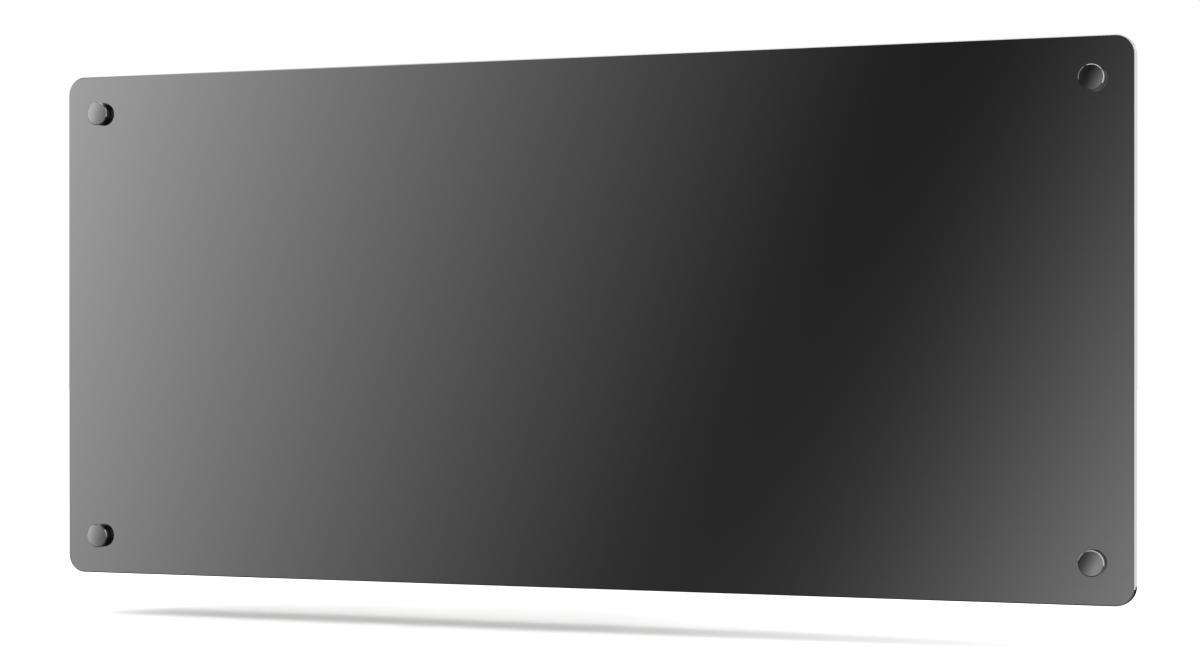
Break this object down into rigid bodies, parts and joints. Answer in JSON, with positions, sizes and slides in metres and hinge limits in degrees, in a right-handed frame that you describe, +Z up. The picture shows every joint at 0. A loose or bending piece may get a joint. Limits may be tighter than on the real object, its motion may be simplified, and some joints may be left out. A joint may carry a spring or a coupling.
{
  "type": "glass convector heater",
  "caption": "Wall-hung convector heater with a frameless black glass front on capped standoffs, a slim vented steel casing, finned element and top controls.",
  "frame": {"origin": "centre of the four wall screws, on the wall plane", "axes": "+X to the right seen from the front, +Y from the room into the wall, +Z up"},
  "size_m": [0.91, 0.1105, 0.42],
  "materials": {
    "black_glass": "back-painted, polished",
    "black_nickel": "polished black nickel",
    "nylon_washer": "moulded",
    "zinc_steel": "zinc plated",
    "black_casing": "fine-textured powder coat",
    "galvanised_sheet": "galvanised",
    "bright_shield": "bright rolled",
    "cast_aluminium": "extruded and slit",
    "sheathed_steel": "heat-tinted sheath",
    "steatite": "unglazed ceramic",
    "brass": "turned",
    "black_plastic": "moulded, spark-eroded",
    "bakelite": "moulded",
    "knob_plastic": "moulded, satin",
    "rocker_plastic": "moulded",
    "pilot_lens": "tinted lens"
  },
  "bodies": {
    "heater": {"back_shell": "black_casing", "cable_gland": "black_plastic", "cap_bottom_left": "black_nickel", "cap_bottom_right": "black_nickel", "cap_top_left": "black_nickel", "cap_top_right": "black_nickel", "cap_washers": "nylon_washer", "ceramic_bushes": "steatite", "control_panel": "black_plastic", "cutout_bracket": "galvanised_sheet", "end_plate_screws": "zinc_steel", "front_plate": "black_casing", "front_plate_screws": "zinc_steel", "full_power_switch_body": "black_plastic", "gland_nut": "black_plastic", "glass_bushes": "nylon_washer", "glass_panel": "black_glass", "half_power_switch_body": "black_plastic", "heat_barrier": "galvanised_sheet", "heat_shield": "bright_shield", "heating_element": "cast_aluminium", "left_element_bracket": "galvanised_sheet", "left_end_plate": "black_casing", "left_wall_bracket": "galvanised_sheet", "left_wall_spacer": "black_plastic", "lower_heating_rod": "sheathed_steel", "outlet_grille": "black_casing", "pilot_lamp": "pilot_lens", "post_bottom_left": "zinc_steel", "post_bottom_right": "zinc_steel", "post_top_left": "zinc_steel", "post_top_right": "zinc_steel", "post_washers": "nylon_washer", "right_element_bracket": "galvanised_sheet", "right_end_plate": "black_casing", "right_wall_bracket": "galvanised_sheet", "right_wall_spacer": "black_plastic", "rod_terminals": "brass", "standoff_nuts": "zinc_steel", "standoff_studs": "zinc_steel", "terminal_block": "steatite", "thermal_cutout": "bakelite", "thermostat_body": "bakelite", "thermostat_nut": "zinc_steel", "upper_heating_rod": "sheathed_steel"},
    "knob": {"thermostat_knob": "knob_plastic", "thermostat_shaft": "brass"},
    "half_power_rocker": {"half_power_rocker": "rocker_plastic"},
    "full_power_rocker": {"full_power_rocker": "rocker_plastic"},
    "left_latch": {"left_latch": "zinc_steel"},
    "right_latch": {"right_latch": "zinc_steel"}
  },
  "joints": [
    {"name": "thermostat_turn", "type": "hinge", "parent": "heater", "child": "knob", "pos_m": [0.326, -0.049, 0.1919], "axis": [0, 0, -1], "range_deg": [0, 270]},
    {"name": "half_power_switch", "type": "hinge", "parent": "heater", "child": "half_power_rocker", "pos_m": [0.369, -0.049, 0.19], "axis": [-1, 0, 0], "range_deg": [0, 18]},
    {"name": "full_power_switch", "type": "hinge", "parent": "heater", "child": "full_power_rocker", "pos_m": [0.393, -0.049, 0.19], "axis": [-1, 0, 0], "range_deg": [0, 18]},
    {"name": "left_latch_turn", "type": "hinge", "parent": "heater", "child": "left_latch", "pos_m": [-0.21, -0.008, 0.12], "axis": [0, -1, 0], "range_deg": [0, 90]},
    {"name": "right_latch_turn", "type": "hinge", "parent": "heater", "child": "right_latch", "pos_m": [0.21, -0.008, 0.12], "axis": [0, 1, 0], "range_deg": [0, 90]}
  ]
}
